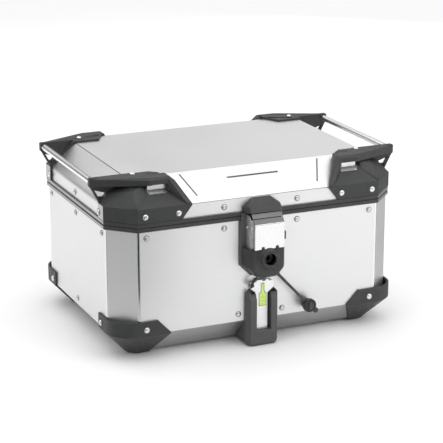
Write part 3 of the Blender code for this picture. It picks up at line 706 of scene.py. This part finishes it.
def make_bracket_fillers():
    """Web at the foot of each wing's hole and the bright grip plate behind each slot."""
    web = ((268, 284.5), (274.6, 279.5), (278.6, 286.5), (267.0, 286.0))
    grip = ((166, 297.9), (200, 297.9), (200, 306.6), (166, 306.6))
    webs = bmesh.new()
    grips = bmesh.new()
    for sy in (-1, 1):
        for sx in (-1, 1):
            plate(webs, "y", [(sx * x, z) for x, z in web], sy * 130.6, sy * 134.4)
            plate(grips, "y", rounded_outline([(sx * x, z) for x, z in grip], 1.0), sy * 164.6, sy * 166.4)
    place_piece(finish_mesh(webs, "wing_webs", [MOULDING]), "lid", "dark_moulding")
    place_piece(finish_mesh(grips, "slot_grips", [SLIDER]), "lid", "bright_plating")


def make_mouldings():
    for end in ("front", "rear"):
        for side in ("left", "right"):
            corner = f"{end}_{side}"
            bm = cad_mesh(f"bracket_{corner}")
            if end == "rear":
                recess_top(bm)
            round_edges(bm, 1.5, low_angle=12, segments=3)
            sides = [face for face in bm.faces if painted_sheen_side(face)]
            # the side skirts below this height take the lighter grey metal: painted sheen
            paint([face for face in sides if face.calc_center_median().z < BRACKET_SKIRT_TOP], 1)
            place_piece(finish_mesh(bm, f"bracket_moulding_{corner}", [MOULDING, SKIRT_SIDE_PAINTED_SHEEN], 40), "lid",
                        "dark_moulding", f"bracket_{corner}")
            bm = cad_mesh(f"corner_guard_{corner}")
            round_edges(bm, 1.3, low_angle=14, segments=3)
            place_piece(finish_mesh(bm, f"guard_moulding_{corner}", [MOULDING], 40), "case", "dark_moulding",
                        f"corner_guard_{corner}")
    rounded_copy("base_plate", "base_moulding", "case", "dark_moulding", MOULDING, 1.2)
    # the backplate takes the lighter moulding: painted light on its lit left face
    rounded_copy("lock_backplate", "backplate_moulding", "case", "dark_moulding", LIGHTER_MOULDING_AND_PAINTED_LIGHT, 1.4)
    for node, body in (("lower_rim", "case"), ("upper_rim", "lid")):
        bm = cad_mesh(node)
        round_edges(bm, 0.9)
        # the rims' large side faces take the lighter grey metal: painted sheen
        paint([face for face in bm.faces if painted_sheen_side(face) and face.calc_area() > RIM_FACE_AREA], 1)
        place_piece(finish_mesh(bm, f"{node}_profile", [RIM, RIM_SIDE_PAINTED_SHEEN]), body, "rim_profile", node)
    make_bracket_fillers()


def make_striker():
    """Cover over the latch, with two small drain notches in its lower edge."""
    bm = cad_mesh("striker_cover")
    round_edges(bm, 1.6, low_angle=15)
    cover = finish_mesh(bm, "striker_moulding", [MOULDING])
    bottom = low("striker_cover").z
    tool = bmesh.new()
    for x in (-6.7, 8.9):
        plate(tool, "y", [(x - 1.6, bottom - 2), (x + 1.6, bottom - 2), (x + 1.1, bottom + 1.5),
                          (x - 1.1, bottom + 1.5)], -230, -206)
    boolean(cover, finish_mesh(tool, "notches", [MOULDING]))
    place_piece(cover, "lid", "dark_moulding", "striker_cover")


# ---------------------------------------------------------------- lock

LEVER_FACE = low("latch_lever").y
LEVER_LOW = low("latch_lever").z
LEVER_HALF = high("latch_lever").x
LEVER_SHEET = 2.0
LEVER_BEND = 231.0           # height where the plate turns into the slanted band
CHEEK_GAP = 0.3              # between the lever and the fixed cheeks outside it
CHEEK_OUT = 1.5              # thickness of the cheeks
BODY_FRONT = -230.0          # y of the body's front face and of its widest section
BODY_MIDDLE = -212.0
KEEPERS_X = (-12.5, 14.5)    # the two keepers, and the notches in the lever for them
BOSS = [(25.0, -1.5), (23.2, 0.1), (21.6, 0.9), (20.4, 2.3), (18.9, 4.0), (17.4, 5.6), (16.4, 8.0), (15.8, 10.0),
        (15.2, 10.8), (14.3, 11.0)]


def mirrored(half):
    """Closes a symmetric (x, z) section from its right half, given from top to bottom."""
    return half + [(-x, z) for x, z in reversed(half)]


def key_centre():
    middle = (low("key_cylinder") + high("key_cylinder")) / 2
    return middle.x, middle.z


def make_lock():
    """Lock body with a flared boss round the key hole, its lip and the keepers that reach into the lever."""
    top = high("lock_body").z
    rear = high("lock_body").y
    x, z = key_centre()
    bm = bmesh.new()
    sections = ((rear, [(39, top), (39, 154), (19, 133)]), (BODY_MIDDLE, [(38, top), (38, 152), (18, 131)]),
                (BODY_FRONT, [(30, top), (30, 147), (16, 133)]))
    skin_rings(bm, [[Vector((a, y, b)) for a, b in mirrored(half)] for y, half in sections])

    def on_outside(edge):
        return min(vert.co.y for vert in edge.verts) < rear - 1 and any(vert.co.z < top - 1 for vert in edge.verts)

    round_edges(bm, 4.5, 14, 100, 5, on_outside)
    round_edges(bm, 0.8, 40, 100, 2)
    body = finish_mesh(bm, "lock_moulding", [MOULDING], 40)
    boss = bmesh.new()
    revolve(boss, BOSS, standing((x, BODY_FRONT, z), (0, -1, 0)), 72)
    boolean(body, finish_mesh(boss, "boss", [MOULDING]), "UNION")
    # the bore's cut walls take the near-black steel: painted shade in the key hole
    bore = bmesh.new()
    revolve(bore, [(12.6, -40), (12.6, 10.6), (13.1, 11.6)], standing((x, BODY_FRONT, z), (0, -1, 0)), 72)
    boolean(body, finish_mesh(bore, "bore", [DARK_STEEL_AND_BORE_SHADE]))
    body.data.shade_smooth()
    body.data.set_sharp_from_angle(angle=math.radians(36))
    place_piece(body, "case", "dark_moulding", "lock_body")

    lip = bmesh.new()
    section = [(12.5, 7.0), (12.5, 11.5), (12.2, 12.0), (11.7, 12.1), (11.2, 11.7), (11.0, 10.8), (11.0, 7.0)]
    rows = [ring("z", (0, 0), radius, height, 64) for radius, height in section]
    place = standing((x, BODY_FRONT, z), (0, -1, 0))
    skin_rings(lip, [[place @ point for point in row] for row in rows], cyclic=True)
    place_piece(finish_mesh(lip, "key_hole_lip", [RIM]), "case", "black_rubber", "cylinder_bezel")

    keepers = bmesh.new()
    for middle in KEEPERS_X:
        plate(keepers, "y", rounded_outline([(middle - 2.0, top - 2), (middle + 2.0, top - 2),
                                             (middle + 1.7, top + 4.6), (middle - 1.7, top + 4.6)], 1.4),
              LEVER_FACE + 0.2, LEVER_FACE + 9)
    place_piece(finish_mesh(keepers, "lever_keepers", [MOULDING]), "case", "dark_moulding")


def make_key():
    """Barrel deep in the bore, with its shutter and key slot, in near-black steel that paints the shade in the bore.
    """
    x, z = key_centre()
    face = low("key_cylinder").y + 4.0
    bm = bmesh.new()
    revolve(bm, [(9.2, -18), (9.2, -0.8), (8.6, 0), (6.4, 0), (6.0, -0.7), (0, -0.7)],
            standing((x, face, z), (0, -1, 0)), 56)
    barrel = finish_mesh(bm, "key_barrel", [DARK_STEEL_AND_BORE_SHADE])
    tool = bmesh.new()
    plate(tool, "y", [(x - 1.2, z - 4.6), (x + 1.2, z - 4.6), (x + 1.2, z + 4.6), (x - 1.2, z + 4.6)],
          face - 2, face + 12)
    boolean(barrel, finish_mesh(tool, "keyway", [DARK_STEEL_AND_BORE_SHADE]))
    place_piece(barrel, "key", "plain_steel", "key_cylinder")


# ---------------------------------------------------------------- latch lever

def make_lever():
    """Folded lever: bright front plate, slanted band painted darker as shade, and two side walls."""
    face = LEVER_FACE
    outer = [(face, LEVER_LOW), (face, LEVER_BEND + 0.8), (-225.6, 240.2), (-223.8, 238.8), (-205, 231), (-205, 200),
             (-218.5, LEVER_LOW)]
    bm = bmesh.new()
    plate(bm, "x", outer, -LEVER_HALF, LEVER_HALF)
    round_edges(bm, 1.1, 20, 120, 4)
    # the slanted band's upward faces take the dark grey: painted shade
    paint([item for item in bm.faces if item.normal.z > 0.5 and item.calc_center_median().y < -225], 1)
    lever = finish_mesh(bm, "lever_plate", [PLATED, HOOD_GREY_AND_BAND_SHADE], 25)
    inner = LEVER_HALF - LEVER_SHEET
    tool = bmesh.new()
    plate(tool, "x", [(face + 2, LEVER_LOW - 5), (face + 2, 231.2), (-226.1, 236.6), (-218, 244.9), (-190, 245),
                      (-190, LEVER_LOW - 5)], -inner, inner)
    boolean(lever, finish_mesh(tool, "hollow", [PLATED]))
    tool = bmesh.new()
    for middle in KEEPERS_X:
        plate(tool, "y", rounded_outline([(middle - 3.1, LEVER_LOW - 4), (middle + 3.1, LEVER_LOW - 4),
                                          (middle + 3.1, LEVER_LOW + 5.4), (middle - 3.1, LEVER_LOW + 5.4)], 2.4),
              face - 4, face + 5)
    boolean(lever, finish_mesh(tool, "notches", [PLATED]))
    # the gaps along the lever's folds take the near-black metal: painted shade
    tool = bmesh.new()
    for sx in (-1, 1):
        reach = [Vector((sx * (LEVER_HALF + 0.4), y, z)) for y, z in
                 ((-231.6, 226), (-230.6, 233.4), (-227.0, 237.6), (-221.0, 239.2))]
        for start, end in zip(reach, reach[1:]):
            groove(tool, start, end, Vector((sx, 0, 0)), 1.5, 1.3)
            boolean(lever, finish_mesh(tool, "fold_gap", [GAP_SHADE]))
            tool = bmesh.new()
    tool.free()
    place_piece(lever, "lever", "bright_plating", "latch_lever")

    hood = bmesh.new()
    plate(hood, "x", [(-225.0, 240.8), (-218.1, 248.2), (-216.5, 248.2), (-216.5, 246.6), (-222.6, 240.4),
                      (-224.4, 240.4)], 0.3 - LEVER_HALF, LEVER_HALF - 0.3)
    place_piece(finish_mesh(hood, "lever_hood", [HOOD_GREY_AND_BAND_SHADE]), "case", "plain_steel")

    tab = bmesh.new()
    box_low, box_high = low("lever_side_tab"), high("lever_side_tab")
    plate(tab, "x", rounded_outline([(box_low.y, box_low.z), (box_high.y, box_low.z), (box_high.y, box_high.z),
                                     (box_low.y, box_high.z)], 1.2), box_low.x, box_high.x + 1.2)
    round_edges(tab, 0.5, 60)
    place_piece(finish_mesh(tab, "lever_pull_tab", [RUBBER]), "lever", "black_rubber", "lever_side_tab")

    cheeks = bmesh.new()
    outline = rounded_outline([
        (-202.0, high("lock_body").z), (-202.0, 244.2, 4.5), (-214.0, 243.4, 4.0), (-221.2, 235.0, 5.0),
        (-222.2, 220.0, 8.0), (-220.6, 205.0, 8.0), (-221.8, high("lock_body").z)], 0.8)
    for sx in (-1, 1):
        plate(cheeks, "x", outline, sx * (LEVER_HALF + CHEEK_GAP), sx * (LEVER_HALF + CHEEK_GAP + CHEEK_OUT))
        revolve(cheeks, [(2.4, 0), (2.2, 0.9), (1.4, 1.4), (0, 1.5)],
                standing((sx * (LEVER_HALF + CHEEK_GAP + CHEEK_OUT), -204.8, 221.0), (sx, 0, 0)), 24)
    round_edges(cheeks, 0.35, 60, 120, 2)
    place_piece(finish_mesh(cheeks, "latch_cheeks", [CHEEK]), "case", "plain_steel")


# ---------------------------------------------------------------- rack release

INSERT_BODY = 7.0            # half widths of the insert's body and neck
INSERT_NECK = 3.0


def insert_outline(grow):
    """Bottle-shaped outline of the lime insert, grown all round."""
    bottom = low("slider_insert").z - grow
    top = high("slider_insert").z + grow
    body = INSERT_BODY + grow
    neck = INSERT_NECK + grow
    return rounded_outline([(-body, bottom), (body, bottom), (body, 95.0 + grow), (neck, 100.5 + grow), (neck, top),
                            (-neck, top), (-neck, 100.5 + grow), (-body, 95.0 + grow)], 0.9, 3)


def make_release():
    shell = finish_mesh(cad_mesh("release_housing"), "housing", [LIGHTER_MOULDING_AND_PAINTED_LIGHT])
    outline = bmesh.new()
    rows = []
    for y, half, base in ((-216, 25.6, 5.2), (-213, 25.6, 5.2), (-208, 27.6, 0.2), (-201, 31.2, 0.2),
                          (-100, 31.2, 0.2)):
        corners = [(-half, 120, 0), (-half, base, 9), (half, base, 9), (half, 120, 0)]
        rows.append([Vector((x, y, z)) for x, z in rounded_outline(corners, 0, 8)])
    skin_rings(outline, rows)
    boolean(shell, finish_mesh(outline, "outline", [LIGHTER_MOULDING_AND_PAINTED_LIGHT]), "INTERSECT")
    bm = reopened(shell)
    round_edges(bm, 1.9, 16, 120, 3)
    place_piece(finish_mesh(bm, "release_moulding", [LIGHTER_MOULDING_AND_PAINTED_LIGHT], 40), "case", "dark_moulding",
                "release_housing")

    front = low("release_slider").y
    rear = high("release_slider").y
    bottom = low("release_slider").z
    bm = bmesh.new()
    plate(bm, "y", [(-13.2, bottom), (9.8, bottom), (9.8, 97.0), (14.0, 99.5), (22.5, 106.0), (22.0, 116.5),
                    (19.5, 118.5), (13.0, 118.0), (10.5, 121.5), (-10.5, 121.5), (-13.0, 118.0), (-19.5, 118.5),
                    (-22.0, 116.5), (-22.5, 106.0), (-14.0, 99.5)], front, rear)

    def at_wing(edge):
        return all(vert.co.y < front + 0.1 and abs(vert.co.x) > 13.5 for vert in edge.verts)

    paint(round_edges(bm, 2.6, 60, 120, 1, at_wing), 1)
    round_edges(bm, 0.5, 30, 120, 2)
    slider = finish_mesh(bm, "slider_plate", [SLIDER, CHEEK])
    tool = bmesh.new()
    plate(tool, "y", rounded_outline([(-6.6, 48.5), (6.2, 48.5), (6.2, 70.5), (-6.6, 70.5)], 0.8),
          front - 1, front + 0.7)
    plate(tool, "y", rounded_outline([(-6.6, 34), (6.2, 34), (6.2, 46.3), (-6.6, 46.3)], 0.8), front - 1, front + 0.9)
    plate(tool, "y", [(7.4, 31.5), (8.2, 31.5), (8.2, 96), (7.4, 96)], front - 1, front + 1.2)
    boolean(slider, finish_mesh(tool, "panels", [SLIDER]))
    # the pocket's cut walls take the dark groove grey: painted shade round the insert
    tool = bmesh.new()
    plate(tool, "y", insert_outline(0.5), front - 1, front + 0.6)
    boolean(slider, finish_mesh(tool, "pocket", [GROOVE_SHADOW]))
    place_piece(slider, "slider", "bright_plating", "release_slider")

    bm = bmesh.new()
    plate(bm, "y", insert_outline(0.0), front + 0.5, front - 0.2, 1)
    plate(bm, "y", insert_outline(-0.8), front - 0.1, front - 0.45)
    place_piece(finish_mesh(bm, "insert_plate", [LIME, LIME_EDGE]), "slider", "lime_insert", "slider_insert")

    hook = bmesh.new()
    route = [(6.6, 134.5), (6.3, 130.0), (5.6, 124.5), (4.2, 121.0), (2.0, 119.6), (-0.4, 120.6)]
    rows = []
    for i, (x, z) in enumerate(route):
        back = Vector(route[max(i - 1, 0)])
        ahead = Vector(route[min(i + 1, len(route) - 1)])
        across = Vector((-(ahead - back).y, (ahead - back).x)).normalized()
        rows.append([Vector((x + across.x * 0.7 * math.cos(turn), front - 1.4 + 0.7 * math.sin(turn),
                             z + across.y * 0.7 * math.cos(turn)))
                     for turn in (math.tau * k / 12 for k in range(12))])
    skin_rings(hook, rows)
    place_piece(finish_mesh(hook, "slider_hook", [DARK_STEEL_AND_BORE_SHADE]), "case", "plain_steel")


# ---------------------------------------------------------------- dust cap

CAP_CENTRE = (88.0, 64.0)    # x and z of the hanging cap
CAP_RADIUS = 12.4


def make_cap():
    """Round cap with a plug and a pull tab, on a strap that thickens at both ends."""
    strap = cad_mesh("cap_strap")
    round_edges(strap, 0.5, 20, 120, 3)
    place_piece(finish_mesh(strap, "strap_moulding", [STRAP], 50), "cap", "black_rubber", "cap_strap")

    face = low("dust_cap").y
    x, z = CAP_CENTRE
    radius = CAP_RADIUS
    place = standing((x, face, z), (0, -1, 0))
    bm = bmesh.new()
    revolve(bm, [(radius - 3.2, -17.0), (radius - 2.7, -16.3), (radius - 2.7, -6.4), (radius - 0.4, -6.2),
                 (radius, -5.6), (radius, -1.2), (radius - 0.9, -0.2), (radius - 2.2, 0), (radius - 2.9, -0.7),
                 (0, -0.9)], place, 64)
    plate(bm, "y", rounded_outline([(x - 1.6, z - 8.0), (x + 2.6, z - 8.0, 3), (x + 6.6, z - 3.5, 5),
                                    (x + 6.6, z + 3.5, 5), (x + 2.6, z + 8.0, 3), (x - 1.6, z + 8.0)], 1.0),
          face + 1.2, face - 0.9, 1)
    tab = [(x + 11.5 + 5.0 * math.cos(turn), z - 10 + 5.0 * math.sin(turn))
           for turn in (math.tau * k / 28 for k in range(28))]
    plate(bm, "y", tab, face + 4.8, face + 0.8, 1)
    place_piece(finish_mesh(bm, "cap_moulding", [RUBBER, STRAP], 40), "cap", "black_rubber", "dust_cap")

    anchor = cad_mesh("strap_anchor")
    round_edges(anchor, 0.9, 24, 120, 3)
    place_piece(finish_mesh(anchor, "anchor_moulding", [RUBBER], 50), "case", "black_rubber", "strap_anchor")


# ---------------------------------------------------------------- rails

def make_rails():
    for side in ("left", "right"):
        node = f"rail_{side}"
        bottom, top = low(node), high(node)
        centre = (bottom + top) / 2
        radius = (top.x - bottom.x) / 2
        bm = bmesh.new()
        ends = [(radius - 0.6, bottom.y), (radius, bottom.y + 0.6), (radius, top.y - 0.6), (radius - 0.6, top.y)]
        skin_rings(bm, [ring("y", (centre.x, centre.z), r, y, 48) for r, y in ends])
        place_piece(finish_mesh(bm, f"rail_tube_{side}", [RAIL]), "lid", "rail_tube", node)


def paint_nodes():
    """Materials for the CAD nodes that stay as they are."""
    looks = {
        "black_rubber": RUBBER, "plain_steel": STEEL, "bright_plating": PLATED, "lime_insert": LIME,
        "dark_moulding": MOULDING, "rim_profile": RIM, "rail_tube": RAIL, "aluminium_panel": SHEET_WALL,
    }
    for part in frame["record"]["subparts"]:
        node = frame["nodes"][part["node"]]
        node.data.materials.clear()
        node.data.materials.append(looks[part["material_slot"]])


# ---------------------------------------------------------------- all

make_camera()
make_studio()
paint_nodes()
make_tub()
make_lid()
make_rivets()
make_screws()
make_mouldings()
make_striker()
make_lock()
make_key()
make_lever()
make_release()
make_cap()
make_rails()
